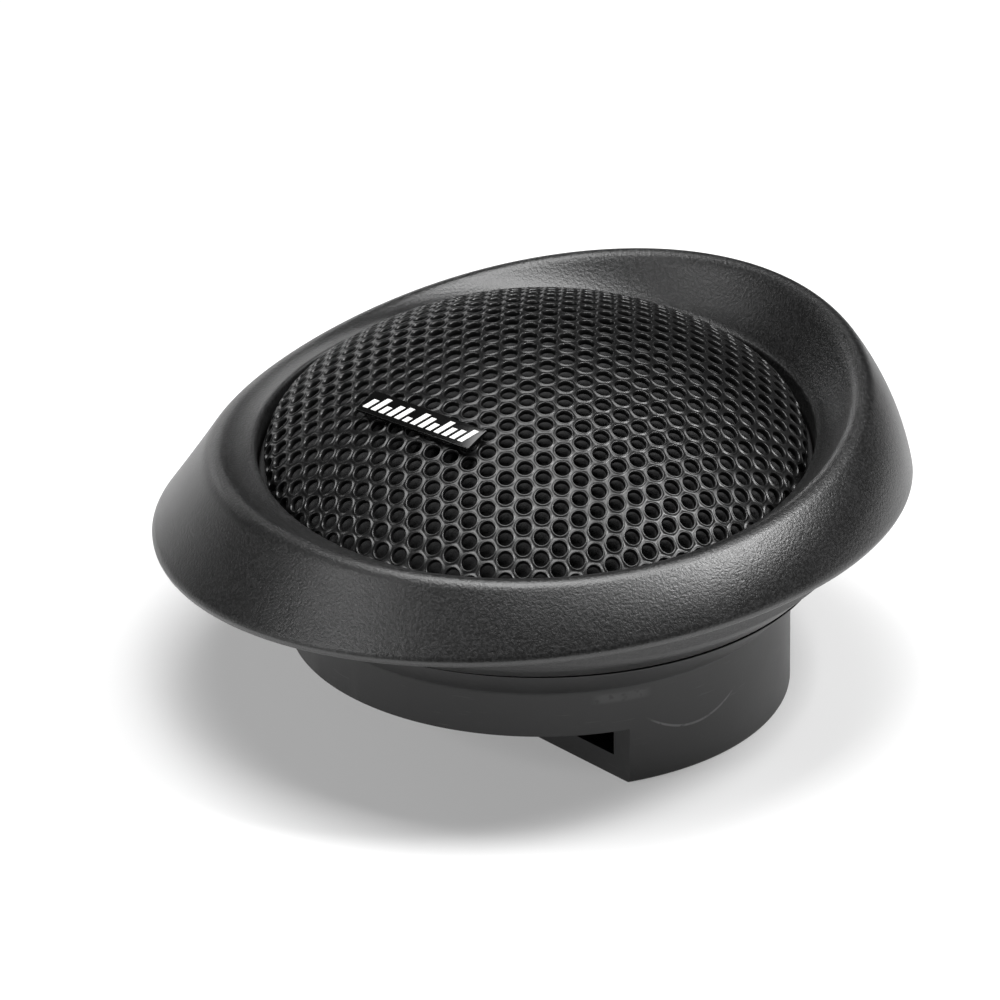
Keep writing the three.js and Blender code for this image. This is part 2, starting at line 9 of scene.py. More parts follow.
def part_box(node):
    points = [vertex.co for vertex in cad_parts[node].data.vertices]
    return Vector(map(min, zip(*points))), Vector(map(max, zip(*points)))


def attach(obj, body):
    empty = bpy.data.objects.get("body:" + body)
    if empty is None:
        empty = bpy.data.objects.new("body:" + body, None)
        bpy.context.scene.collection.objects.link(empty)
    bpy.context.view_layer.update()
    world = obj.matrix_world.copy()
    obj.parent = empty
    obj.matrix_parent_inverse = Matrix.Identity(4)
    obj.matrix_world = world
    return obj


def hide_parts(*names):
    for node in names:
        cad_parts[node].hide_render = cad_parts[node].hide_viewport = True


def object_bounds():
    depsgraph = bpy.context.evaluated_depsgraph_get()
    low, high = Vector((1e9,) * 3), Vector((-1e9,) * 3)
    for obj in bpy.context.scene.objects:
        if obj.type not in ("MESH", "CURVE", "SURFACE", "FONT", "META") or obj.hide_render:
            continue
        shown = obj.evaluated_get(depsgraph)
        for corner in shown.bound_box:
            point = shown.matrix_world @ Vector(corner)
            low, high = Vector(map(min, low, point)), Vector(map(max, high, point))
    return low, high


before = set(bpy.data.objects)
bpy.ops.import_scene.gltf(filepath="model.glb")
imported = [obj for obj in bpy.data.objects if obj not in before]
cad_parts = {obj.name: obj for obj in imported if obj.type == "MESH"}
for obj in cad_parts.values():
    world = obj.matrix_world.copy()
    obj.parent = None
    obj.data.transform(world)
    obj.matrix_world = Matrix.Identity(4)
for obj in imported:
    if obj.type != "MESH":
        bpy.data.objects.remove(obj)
cad_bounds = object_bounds()
MM = 0.001

# ---- Camera ----
# A very long lens that looks along +Y and 27.4 degrees down, so that the tweeter stands with its
# badge to the front left and the wire window below it.
ELEVATION = math.radians(27.41)
VIEW_WIDTH = 82.38 * MM
LENS = 1200.0
SENSOR = 36.0
AIM = Vector((-3.26, 0.0, 16.14)) * MM

camera = bpy.data.objects.new("camera", bpy.data.cameras.new("camera"))
camera.data.lens = LENS
camera.data.sensor_width = SENSOR
camera.data.clip_end = 20.0
distance = VIEW_WIDTH * LENS / SENSOR
towards_camera = Vector((0.0, -math.cos(ELEVATION), math.sin(ELEVATION)))
camera.location = AIM + distance * towards_camera
camera.rotation_euler = (math.pi / 2 - ELEVATION, 0.0, 0.0)
bpy.context.scene.collection.objects.link(camera)
bpy.context.scene.camera = camera


# ---- Studio: pale floor with a painted glow, dim surroundings and softboxes ----
# The tweeter stands on a wide matt table whose middle glows round it by the floor's own emission: painted
# light, a bright disc that fades out a few centimetres away. A large softbox hangs overhead, a strong one
# high on the right lights the crest, and weak ones low at the left and the back show the slopes.
class Shade:
    """A shader socket that takes part in arithmetic, and the one place where nodes are made."""

    def __init__(self, tree, socket):
        self.tree = tree
        self.socket = socket

    def node(self, kind, settings=None, inputs=None, output=0):
        made = self.tree.nodes.new(kind)
        for name, value in (settings or {}).items():
            setattr(made, name, value)
        for name, value in (inputs or {}).items():
            if isinstance(value, Shade):
                self.tree.links.new(value.socket, made.inputs[name])
            else:
                made.inputs[name].default_value = value
        return Shade(self.tree, made.outputs[output])

    def maths(self, operation, first, second):
        return self.node("ShaderNodeMath", {"operation": operation}, {0: first, 1: second})

    def __add__(self, other):
        return self.maths("ADD", self, other)

    def __radd__(self, other):
        return self.maths("ADD", other, self)

    def __sub__(self, other):
        return self.maths("SUBTRACT", self, other)

    def __rsub__(self, other):
        return self.maths("SUBTRACT", other, self)

    def __mul__(self, other):
        return self.maths("MULTIPLY", self, other)

    def __rmul__(self, other):
        return self.maths("MULTIPLY", other, self)

    def __truediv__(self, other):
        return self.maths("DIVIDE", self, other)

    def __rtruediv__(self, other):
        return self.maths("DIVIDE", other, self)

    def over(self, threshold):
        return self.maths("GREATER_THAN", self, threshold)

    def size(self):
        return self.node("ShaderNodeMath", {"operation": "ABSOLUTE"}, {0: self})

    def wave(self):
        return self.node("ShaderNodeMath", {"operation": "SINE"}, {0: self})

    def band(self, low, high):
        """0 below low, 1 above high and a smooth step between: low may be the larger one."""
        settings = {"interpolation_type": "SMOOTHSTEP"}
        return self.node("ShaderNodeMapRange", settings, {"Value": self, "From Min": low, "From Max": high})

    def mix(self, first, second):
        """The first colour moved towards the second, by this value."""
        return self.node("ShaderNodeMix", {"data_type": "RGBA"}, {0: self, 6: first, 7: second}, 2)

    def tint(self, dark, light):
        """A colour between two fixed colours, by this value."""
        return self.mix((*dark, 1.0), (*light, 1.0))

    def towards(self, colour, linked):
        """A linked colour moved towards a fixed one, by this value."""
        return self.mix(linked, (*colour, 1.0))


def softbox(name, towards, reach, width, height, watts):
    light = bpy.data.lights.new(name, "AREA")
    light.shape = "RECTANGLE"
    light.size = width
    light.size_y = height
    light.energy = watts
    lamp = bpy.data.objects.new(name, light)
    lamp.location = AIM + reach * Vector(towards).normalized()
    lamp.rotation_euler = (lamp.location - AIM).to_track_quat("Z", "Y").to_euler()
    bpy.context.scene.collection.objects.link(lamp)


softbox("overhead_softbox", (-0.08, 0.05, 1.0), 0.42, 0.28, 0.28, 2.3)
softbox("right_softbox", (0.54, -0.08, 0.84), 0.45, 0.12, 0.12, 1.8)
softbox("left_softbox", (-0.84, -0.34, 0.42), 0.45, 0.10, 0.10, 0.38)
softbox("back_strip", (-0.45, 1.0, 0.18), 0.45, 0.30, 0.06, 0.20)

bpy.context.scene.view_settings.view_transform = "Standard"
world = bpy.data.worlds.new("pale_room")
bpy.context.scene.world = world
world.use_nodes = True
room = world.node_tree.nodes["Background"]
room.inputs["Color"].default_value = (1.0, 1.0, 1.0, 1.0)
room.inputs["Strength"].default_value = 0.02

FLOOR_REACH = 6.0
FLOOR_GAP = 0.00002
# Painted light: the floor glows by emission, fully inside the first radius and not at all past the second,
# in metres.
PAINTED_POOL_EDGE = (0.07, 0.16)
PAINTED_POOL_GLOW = 0.30
floor_corners = [(x * FLOOR_REACH, y * FLOOR_REACH, 0.0) for x, y in ((-1, -1), (1, -1), (1, 1), (-1, 1))]
floor_mesh = bpy.data.meshes.new("floor")
floor_mesh.from_pydata(floor_corners, [], [(0, 1, 2, 3)])
floor = bpy.data.objects.new("floor", floor_mesh)
floor.location.z = cad_bounds[0][2] - FLOOR_GAP
bpy.context.scene.collection.objects.link(floor)
floor_paper = bpy.data.materials.new("floor_paper")
floor_paper.use_nodes = True
paper_shader = floor_paper.node_tree.nodes["Principled BSDF"]
paper_shader.inputs["Base Color"].default_value = (0.60, 0.60, 0.60, 1.0)
paper_shader.inputs["Roughness"].default_value = 0.9
paper_shader.inputs["Emission Color"].default_value = (1.0, 1.0, 1.0, 1.0)
# The glowing disc is painted light in the floor's material, not a lamp.
floor_place = Shade(floor_paper.node_tree, None).node("ShaderNodeTexCoord", output="Object")
from_centre = floor_place.node("ShaderNodeVectorMath", {"operation": "LENGTH"}, {0: floor_place}, "Value")
painted_glow_disc = 1.0 - from_centre.band(*PAINTED_POOL_EDGE)
floor_paper.node_tree.links.new((painted_glow_disc * PAINTED_POOL_GLOW).socket, paper_shader.inputs["Emission Strength"])
floor_mesh.materials.append(floor_paper)


# ---- Mounting cup ----
# One black moulding: a shallow bucket with a 45 degree collar, and a D-shaped wiring chamber under
# it with a flat side and a wire window. Smooth off the tool, with hairline scratches and dust, and
# painted highlights along a step and the collar's edge.
class Finish:
    """A new material on the Principled shader, with its place on the object and its noises."""

    def __init__(self, name, **sockets):
        self.material = bpy.data.materials.new(name)
        self.material.use_nodes = True
        self.tree = self.material.node_tree
        self.shader = self.tree.nodes["Principled BSDF"]
        self.place = Shade(self.tree, None).node("ShaderNodeTexCoord", output="Object")
        for socket, value in sockets.items():
            self.set(socket.replace("_", " "), value)

    def set(self, socket, value):
        if isinstance(value, Shade):
            self.tree.links.new(value.socket, self.shader.inputs[socket])
        else:
            self.shader.inputs[socket].default_value = value

    def noise(self, feature, detail=2.0, roughness=0.5, stretch=None, distortion=0.0):
        """Noise from 0 to 1 with features of about the given size, in millimetres."""
        inputs = {
            "Vector": self.place,
            "Scale": 1.0 / (feature * MM),
            "Detail": detail,
            "Roughness": roughness,
            "Distortion": distortion,
        }
        if stretch:
            moved = {"Vector": self.place, "Scale": stretch}
            inputs["Vector"] = self.place.node("ShaderNodeMapping", {"vector_type": "POINT"}, moved)
        return self.place.node("ShaderNodeTexNoise", None, inputs)

    def specks(self, spacing, radius):
        """1 inside sparse dots: one dot of the given radius in some cells of the given spacing."""
        empty_share = 0.72
        core = 0.6
        inputs = {"Vector": self.place, "Scale": 1.0 / (spacing * MM)}
        far = self.place.node("ShaderNodeTexVoronoi", None, inputs, "Distance")
        cell = self.place.node("ShaderNodeTexVoronoi", None, inputs, "Color")
        pick = cell.node("ShaderNodeSeparateColor", None, {0: cell})
        return far.band(radius / spacing, core * radius / spacing) * pick.over(empty_share)

    def coordinate(self, axis):
        return self.place.node("ShaderNodeSeparateXYZ", None, {0: self.place}, "XYZ".index(axis))

    def bump(self, *layers):
        """Stacks (height, depth in millimetres, strength) layers of relief onto the surface."""
        normal = None
        for height, depth, strength in layers:
            inputs = {"Height": height, "Distance": depth * MM, "Strength": strength}
            if normal:
                inputs["Normal"] = normal
            normal = height.node("ShaderNodeBump", None, inputs)
        self.set("Normal", normal)


def new_object(name, points, faces):
    """An object in the scene, from points in millimetres."""
    mesh = bpy.data.meshes.new(name)
    mesh.from_pydata([(x * MM, y * MM, z * MM) for x, y, z in points], [], faces)
    made = bpy.data.objects.new(name, mesh)
    bpy.context.scene.collection.objects.link(made)
    return made


def shade_smooth(piece, angle=35.0):
    """Shades a piece smooth, but for the edges that turn by more than an angle in degrees."""
    piece.data.shade_smooth()
    piece.data.set_sharp_from_angle(angle=math.radians(angle))


def mesh_piece(name, points, faces, finish, body, slot, smooth=35.0):
    """A mesh piece shaded smooth up to an angle, riding on a body."""
    piece = new_object(name, points, faces)
    piece.data.validate()
    piece.data.materials.append(finish.material)
    shade_smooth(piece, smooth)
    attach(piece, body)
    return piece


def turned(profile, segments, closed=True):
    """Points and faces of a [radius, height] profile turned about +Z. A closed one joins its ends."""
    angles = [2 * math.pi * k / segments for k in range(segments)]
    points = [(r * math.cos(a), r * math.sin(a), z) for a in angles for r, z in profile]
    count = len(profile)
    faces = []
    for k in range(segments):
        here = k * count
        there = (k + 1) % segments * count
        for i in range(count if closed else count - 1):
            j = (i + 1) % count
            faces.append((here + i, there + i, there + j, here + j))
    return points, faces


def capped(profile, segments):
    """As turned, for a profile that starts and ends on the axis: each pole is one fan of triangles."""
    points, faces = turned(profile[1:-1], segments, closed=False)
    count = len(profile) - 2
    bottom = len(points)
    points += [(0.0, 0.0, profile[0][1]), (0.0, 0.0, profile[-1][1])]
    for k in range(segments):
        here = k * count
        there = (k + 1) % segments * count
        faces.append((bottom, there, here))
        faces.append((bottom + 1, here + count - 1, there + count - 1))
    return points, faces


def curve(start, corner, end, steps):
    """Points of a short curve from start to end that leans towards a corner between them."""
    points = []
    for i in range(steps + 1):
        t = i / steps
        weighted = list(zip(((1 - t) ** 2, 2 * t * (1 - t), t ** 2), (start, corner, end)))
        points.append(tuple(sum(weight * point[k] for weight, point in weighted) for k in (0, 1)))
    return points


def rounded(corners, radius, steps=4):
    """A profile with every corner but its two ends rounded off by a short curve."""
    out = [corners[0]]
    for before, corner, after in zip(corners, corners[1:], corners[2:]):
        ends = []
        for other in (before, after):
            length = math.dist(corner, other)
            share = min(radius, 0.45 * length) / length
            ends.append([c + share * (o - c) for c, o in zip(corner, other)])
        out += curve(ends[0], corner, ends[1], steps)
    out.append(corners[-1])
    return out


COLLAR = (9.0, 12.0)
COLLAR_REACH = COLLAR[1] - COLLAR[0]
CUP_RADIUS = (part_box("mounting_cup")[1].x / MM) - COLLAR_REACH
CUP_SEGMENTS = 192
WALL = 1.6
SHOULDER = 5.0
FLAT_OFFSET = 7.7
FLAT_ANGLE = math.radians(222.7)
WINDOW = {"width": 9.0, "sill": 1.9, "from_corner": 1.9}
SCREW_CIRCLE = 18.6
SCREW_ANGLES = [math.radians(angle) for angle in (90, 210, 330)]
POST = {"radius": 1.9, "pilot": 0.95, "top": 12.2, "pilot_bottom": 7.0}

cup_plastic = Finish("smooth_black_plastic", Specular_IOR_Level=0.5)
cup_mottle = cup_plastic.noise(5.0, 3.0)
cup_grain = cup_plastic.noise(0.16, 2.0)
cup_x = cup_plastic.coordinate("X") / MM
cup_y = cup_plastic.coordinate("Y") / MM
cup_z = cup_plastic.coordinate("Z") / MM
cup_turn = cup_x.maths("ARCTAN2", cup_y, cup_x) * (180.0 / math.pi)
# Painted highlights, lighter colour where light catches a step low on the wall and the collar's lower
# edge: a bright bowed line low on the front right of the wall, a thin streak under the collar further
# right, and a faint lit patch high on the wall left of the bow. Angles are in degrees round the cup
# from +X. Each width and ends pair runs from where the highlight is gone to its full tone.
BOW = {"angle": -52.0, "height": 4.05, "lift": 0.010, "width": (0.16, 0.03), "ends": (13.5, 9.0)}
STREAK = {"angle": -38.5, "height": 9.55, "fall": 0.076, "width": (0.11, 0.02), "ends": (9.5, 6.0)}
PATCH = {"angle": -71.0, "height": 8.15, "width": (0.6, 0.2), "ends": (8.0, 4.5)}
# Noise that breaks the painted highlights up into flecks.
highlight_breakup = cup_plastic.noise(0.8, 3.0).band(0.36, 0.50)
bow_turn = cup_turn - BOW["angle"]
bow_line = (cup_z - (BOW["height"] + BOW["lift"] * (bow_turn * bow_turn))).size()
bow = bow_line.band(*BOW["width"]) * bow_turn.size().band(*BOW["ends"]) * highlight_breakup
streak_turn = cup_turn - STREAK["angle"]
streak_line = (cup_z - (STREAK["height"] - STREAK["fall"] * streak_turn)).size()
streak = streak_line.band(*STREAK["width"]) * streak_turn.size().band(*STREAK["ends"]) * highlight_breakup
patch_turn = (cup_turn - PATCH["angle"]).size()
patch_line = (cup_z - PATCH["height"]).size()
patch = patch_line.band(*PATCH["width"]) * patch_turn.band(*PATCH["ends"]) * highlight_breakup
# The bow and the streak are painted highlights, the streak at 0.7 of the bow's tone.
painted_highlight_lines = bow.maths("MAXIMUM", bow, streak * 0.7)
hairline = cup_plastic.noise(0.9, 4.0, stretch=(0.25, 0.25, 6.0)).band(0.66, 0.72)
dust = cup_plastic.specks(3.2, 0.10)
# Painted highlights (bow, streak and patch) mixed with real hairline scratches and dust, all lightening the
# colour.
wear_and_painted_highlight = painted_highlight_lines * 0.55 + patch * 0.14 + hairline * 0.10 + dust * 0.5
cup_colour = cup_mottle.tint((0.012, 0.012, 0.0122), (0.019, 0.019, 0.0193))
cup_plastic.set("Base Color", wear_and_painted_highlight.towards((0.20, 0.20, 0.20), cup_colour))
cup_plastic.set("Roughness", 0.40 + cup_mottle * 0.12 + painted_highlight_lines * 0.15)
cup_plastic.bump((cup_grain, 0.02, 0.35), (cup_mottle, 0.10, 0.15))


def apply_modifier(piece, kind, **settings):
    """A modifier with these settings, applied to the piece's mesh."""
    modifier = piece.modifiers.new(kind.lower(), kind)
    for key, value in settings.items():
        setattr(modifier, key, value)
    with bpy.context.temp_override(object=piece, active_object=piece):
        bpy.ops.object.modifier_apply(modifier=modifier.name)


def break_edges(piece, width):
    """Rounds the piece's sharp edges to a width in millimetres and shades the rest smooth."""
    sharp = math.radians(40)
    apply_modifier(piece, "BEVEL", width=width * MM, segments=3, limit_method="ANGLE", angle_limit=sharp)
    shade_smooth(piece)


def boolean(piece, operation, solid):
    """Joins a closed solid to a piece or cuts it away, with an exact boolean."""
    tool = new_object("boolean_tool", *solid)
    tool_mesh = tool.data
    apply_modifier(piece, "BOOLEAN", operation=operation, solver="EXACT", object=tool)
    bpy.data.objects.remove(tool)
    bpy.data.meshes.remove(tool_mesh)


def solid_cut(name, base, cutters, finish, slot):
    """A piece on the housing with closed cutters taken out of it."""
    piece = mesh_piece(name, *base, finish, "housing", slot)
    for cutter in cutters:
        boolean(piece, "DIFFERENCE", cutter)
    return piece


def block(low, high, turn=0.0):
    """A closed box between two corners, turned about +Z."""
    corners = [(x, y, z) for z in (low[2], high[2]) for y in (low[1], high[1]) for x in (low[0], high[0])]
    cosine, sine = math.cos(turn), math.sin(turn)
    spun = [(x * cosine - y * sine, x * sine + y * cosine, z) for x, y, z in corners]
    return spun, [(0, 2, 3, 1), (4, 5, 7, 6), (0, 1, 5, 4), (2, 6, 7, 3), (0, 4, 6, 2), (1, 3, 7, 5)]


def pin(radius, bottom, top, angle, segments=32):
    """A closed upright pin on the circle of the driver's screws."""
    points, faces = capped([(0.0, bottom), (radius, bottom), (radius, top), (0.0, top)], segments)
    x, y = SCREW_CIRCLE * math.cos(angle), SCREW_CIRCLE * math.sin(angle)
    return [(x + px, y + py, z) for px, py, z in points], faces


def mounting_cup():
    bore = CUP_RADIUS - WALL * math.sqrt(2)
    floor_top = SHOULDER + WALL
    outline = [
        (0.0, 0.0),
        (CUP_RADIUS, 0.0),
        (CUP_RADIUS, COLLAR[0]),
        (CUP_RADIUS + COLLAR_REACH, COLLAR[1]),
        (bore + COLLAR_REACH, COLLAR[1]),
        (CUP_RADIUS - WALL, COLLAR[0] + CUP_RADIUS - WALL - bore),
        (CUP_RADIUS - WALL, floor_top),
        (0.0, floor_top),
    ]
    body = capped(rounded(outline, 0.25), CUP_SEGMENTS)
    far = 2 * CUP_RADIUS
    beyond_flat = block((FLAT_OFFSET, -far, -1.0), (far, far, SHOULDER), FLAT_ANGLE)
    half_chord = math.sqrt(CUP_RADIUS ** 2 - FLAT_OFFSET ** 2)
    window_high = half_chord - WINDOW["from_corner"]
    window = block(
        (FLAT_OFFSET - 1.5 * WALL, window_high - WINDOW["width"], WINDOW["sill"]),
        (FLAT_OFFSET + 1.0, window_high, SHOULDER - 0.02),
        FLAT_ANGLE,
    )
    inside = FLAT_OFFSET - WALL
    radius = CUP_RADIUS - WALL
    arc = math.acos(inside / radius)
    steps = 96
    turns = [FLAT_ANGLE + arc + (2 * math.pi - 2 * arc) * i / steps for i in range(steps + 1)]
    rim = [(radius * math.cos(a), radius * math.sin(a)) for a in turns]
    count = len(rim)
    low = [(x, y, WALL) for x, y in rim]
    high = [(x, y, floor_top + 1.0) for x, y in rim]
    sides = [(i, (i + 1) % count, count + (i + 1) % count, count + i) for i in range(count)]
    chamber = (low + high, [tuple(reversed(range(count))), tuple(range(count, 2 * count)), *sides])
    return solid_cut("mounting_cup_shell", body, [beyond_flat, chamber, window], cup_plastic, "cup_plastic")


def screw_posts(cup):
    """The three posts inside the cup that the driver's screws bite into, with their pilot holes."""
    for angle in SCREW_ANGLES:
        over_chamber = math.cos(angle - FLAT_ANGLE) * SCREW_CIRCLE < FLAT_OFFSET
        foot = WALL / 2 if over_chamber else SHOULDER + WALL / 2
        boolean(cup, "UNION", pin(POST["radius"], foot, POST["top"], angle))
        boolean(cup, "DIFFERENCE", pin(POST["pilot"], POST["pilot_bottom"], POST["top"] + 1.0, angle))


cup = mounting_cup()
screw_posts(cup)
break_edges(cup, 0.18)
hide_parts("mounting_cup")


# ---- Seat gasket, front plate and screws ----
# A strip of black foam seals the flange on the cup's collar. The front plate is a glass-filled black
# moulding that carries the motor, held by three zinc-plated self-tapping pan-head screws.
def lathe_noise(points, amount, feature):
    """Points moved a little along a smooth pattern, so that foam and felt don't look machined."""
    out = []
    for x, y, z in points:
        wobble = math.sin(x / feature) * math.cos(1.3 * y / feature)
        wobble += 0.5 * math.sin(2.1 * (x + y) / feature)
        radius = max(math.hypot(x, y), 0.001)
        share = 1 + amount * wobble / max(radius, 5.0)
        out.append((x * share, y * share, z))
    return out


RING_SEGMENTS = 160


def soft_ring(name, node, bore, slot, finish):
    """A ring or disc of foam or felt with pillowed edges, inside the box of its CAD node."""
    low, high = (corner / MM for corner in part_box(node))
    radius = high.x - 0.1
    thickness = high.z - low.z
    roll = 0.35 * thickness
    inset = 0.04
    outline = [
        (bore, low.z + inset), (radius, low.z + inset), (radius, high.z - inset), (bore, high.z - inset),
    ]
    if bore:
        outline.append(outline[0])
        profile = rounded(outline, roll)[1:-1]
        profile += [(bore, low.z + inset + roll), (bore + roll, low.z + inset)]
        points, faces = turned(profile, RING_SEGMENTS)
    else:
        points, faces = capped(rounded(outline, roll), RING_SEGMENTS)
    piece = mesh_piece(name, lathe_noise(points, 0.05, 1.7), faces, finish, "housing", slot)
    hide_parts(node)


def repaint(finish, *nodes):
    """A CAD node whose shape is right keeps it and takes a new finish."""
    for name in nodes:
        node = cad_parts[name]
        node.data.materials.clear()
        node.data.materials.append(finish.material)


foam = Finish("open_cell_foam", Roughness=0.95)
cells = foam.noise(0.35, 4.0, 0.7)
foam.set("Base Color", cells.tint((0.008, 0.008, 0.008), (0.035, 0.035, 0.036)))
foam.bump((cells, 0.12, 0.9))
soft_ring("seat_gasket_foam", "seat_gasket", 21.6, "foam", foam)

plate_plastic = Finish("glass_filled_plastic", Roughness=0.5)
fibres = plate_plastic.noise(0.5, 4.0, stretch=(1.0, 0.2, 1.0))
plate_plastic.set("Base Color", fibres.tint((0.016, 0.016, 0.017), (0.032, 0.032, 0.033)))
plate_plastic.set("Roughness", 0.42 + fibres * 0.2)
plate_plastic.bump((fibres, 0.03, 0.4))
repaint(plate_plastic, "front_plate", "surround_clamp")

zinc = Finish("zinc_plated_steel", Metallic=1.0)
zinc_bloom = zinc.noise(2.2, 4.0)
zinc_scratch = zinc.noise(0.3, 3.0, stretch=(4.0, 0.15, 4.0))
zinc.set("Base Color", zinc_bloom.tint((0.42, 0.43, 0.45), (0.62, 0.62, 0.60)))
zinc.set("Roughness", 0.24 + zinc_bloom * 0.18 + zinc_scratch * 0.10)
zinc.bump((zinc_scratch, 0.01, 0.4))

SCREW = {"head": 1.7, "head_height": 1.1, "shank": 0.76, "thread": 0.85, "pitch": 0.6, "length": 5.3}
CROSS = {"reach": 0.95, "half_width": 0.19, "depth": 0.6, "turn": 0.3}


def screw(index):
    node = f"driver_screw_{index}"
    low, high = (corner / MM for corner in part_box(node))
    seat = high.z - SCREW["head_height"]
    tip = seat - SCREW["length"]
    profile = [(0.0, tip), (0.5 * SCREW["shank"], tip + 0.3)]
    turns = int((SCREW["length"] - 1.0) / SCREW["pitch"])
    for turn in range(turns):
        root = tip + 0.6 + turn * SCREW["pitch"]
        profile += [(SCREW["shank"], root), (SCREW["thread"], root + 0.5 * SCREW["pitch"])]
    head = SCREW["head"]
    crown = high.z
    profile += [(SCREW["shank"], seat - 0.25), (SCREW["shank"], seat)]
    profile += [(head - 0.15, seat), (head, seat + 0.15), (head, seat + 0.45)]
    profile += [(head - 0.12, crown - 0.35), (head - 0.45, crown - 0.1), (head - 0.9, crown), (0.0, crown)]
    base = capped(profile, 48)
    arm_low = (-CROSS["reach"], -CROSS["half_width"], crown - CROSS["depth"])
    arm_high = (CROSS["reach"], CROSS["half_width"], crown + 0.2)
    arms = [block(arm_low, arm_high, CROSS["turn"] + quarter) for quarter in (0.0, math.pi / 2)]
    piece = solid_cut(f"screw_{index}", base, arms, zinc, "zinc_steel")
    middle = (low + high) / 2
    piece.data.transform(Matrix.Translation((middle.x * MM, middle.y * MM, 0.0)))
    shade_smooth(piece)
    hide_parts(node)


for index in (1, 2, 3):
    screw(index)


# ---- Motor ----
# A deep-drawn pot yoke and a turned pole plate, both zinc-plated steel, clamp a nickel-plated magnet.
# A felt pad on the pole damps the air under the dome, and a foam disc fills the space behind the yoke.
turning = Finish("turned_zinc", Metallic=1.0)
turn_x = turning.coordinate("X") / MM
turn_y = turning.coordinate("Y") / MM
turned_square = turn_x * turn_x + turn_y * turn_y
turned_radius = turned_square.maths("POWER", turned_square, 0.5)
ridges = (turned_radius * 42.0).wave()
turning_bloom = turning.noise(3.0, 3.0)
turning.set("Base Color", turning_bloom.tint((0.44, 0.45, 0.46), (0.60, 0.60, 0.58)))
turning.set("Roughness", 0.26 + turning_bloom * 0.12)
turning.bump((ridges, 0.006, 0.5))
repaint(turning, "yoke_pot", "pole_plate")

nickel = Finish("nickel_plating", Metallic=1.0)
nickel_cloud = nickel.noise(1.6, 3.0)
nickel.set("Base Color", nickel_cloud.tint((0.58, 0.56, 0.52), (0.70, 0.68, 0.64)))
nickel.set("Roughness", 0.12 + nickel_cloud * 0.12)
nickel.bump((nickel_cloud, 0.02, 0.3))
repaint(nickel, "magnet_disc")

felt = Finish("wool_felt", Roughness=1.0, Sheen_Weight=0.3)
wool = felt.noise(0.25, 5.0, 0.7, distortion=1.5)
felt.set("Base Color", wool.tint((0.05, 0.05, 0.052), (0.12, 0.12, 0.122)))
felt.bump((wool, 0.10, 0.8))
soft_ring("pole_felt_pad", "pole_felt", 0.0, "felt", felt)
soft_ring("rear_foam_pad", "rear_foam", 0.0, "foam", foam)


# ---- Moving assembly ----
# A doped silk dome glued to an aluminium former with a two-layer coil of enamelled copper wire. Its
# roll surround is the same silk, held at its outer edge by the clamp ring.
silk = Finish("doped_silk", Roughness=0.55, Sheen_Weight=0.2)
silk_x = silk.coordinate("X") / MM
silk_y = silk.coordinate("Y") / MM
THREADS = 31.0
warp = (silk_x * THREADS).wave()
weft = (silk_y * THREADS).wave()
doping = silk.noise(2.5, 3.0)
silk.set("Base Color", doping.tint((0.012, 0.012, 0.015), (0.026, 0.026, 0.030)))
silk.set("Roughness", 0.38 + doping * 0.2)
silk.bump((warp * weft, 0.012, 0.7), (doping, 0.08, 0.2))
repaint(silk, "surround")

DOME = {"radius": 12.6, "rise": 6.2, "silk": 0.22}


def dome():
    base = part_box("dome_diaphragm")[0].z / MM
    curvature = (DOME["radius"] ** 2 + DOME["rise"] ** 2) / (2 * DOME["rise"])
    steps = 40

    def face(edge, lift):
        centre = base + lift + DOME["rise"] - curvature
        radii = [edge * i / steps for i in range(steps + 1)]
        return [(r, centre + math.sqrt(curvature ** 2 - r * r)) for r in radii]

    inside = face(DOME["radius"] - 2 * DOME["silk"], 0.0)
    outside = face(DOME["radius"], DOME["silk"])
    profile = [*inside, (DOME["radius"], base), *reversed(outside)]
    piece = mesh_piece("silk_dome", *capped(profile, 144), silk, "diaphragm", "silk")
    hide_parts("dome_diaphragm")


dome()

foil = Finish("former_foil", Metallic=1.0)
foil_crease = foil.noise(0.6, 3.0, stretch=(1.0, 1.0, 0.3))
foil.set("Base Color", foil_crease.tint((0.70, 0.71, 0.73), (0.82, 0.83, 0.84)))
foil.set("Roughness", 0.18 + foil_crease * 0.15)
foil.bump((foil_crease, 0.02, 0.3))
repaint(foil, "voice_coil_former")

enamel = Finish("enamelled_copper", Metallic=1.0, Coat_Roughness=0.1)
enamel_tone = enamel.noise(1.2, 2.0)
enamel.set("Base Color", enamel_tone.tint((0.46, 0.17, 0.07), (0.66, 0.30, 0.14)))
enamel.set("Roughness", 0.22 + enamel_tone * 0.12)
enamel.set("Coat Weight", 0.5 + enamel_tone * 0.4)
repaint(enamel, "tinsel_lead_plus", "tinsel_lead_minus")


COIL_BORE_RADIUS = 12.5
WIRE = 0.19


def voice_coil():
    low, high = (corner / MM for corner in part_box("voice_coil"))
    count = int((high.z - low.z) / WIRE)
    start = low.z + 0.5 * (high.z - low.z - count * WIRE)
    middle = high.x - 0.5 * WIRE - 0.02
    steps = 5
    profile = [(COIL_BORE_RADIUS, start)]
    for turn in range(count):
        for step in range(steps):
            angle = -math.pi / 2 + math.pi * (step + 0.5) / steps
            height = start + (turn + 0.5) * WIRE + 0.5 * WIRE * math.sin(angle)
            profile.append((middle + 0.5 * WIRE * math.cos(angle), height))
    profile.append((COIL_BORE_RADIUS, start + count * WIRE))
    piece = mesh_piece("coil_winding", *turned(profile, 120), enamel, "diaphragm", "copper", smooth=70.0)
    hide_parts("voice_coil")


voice_coil()


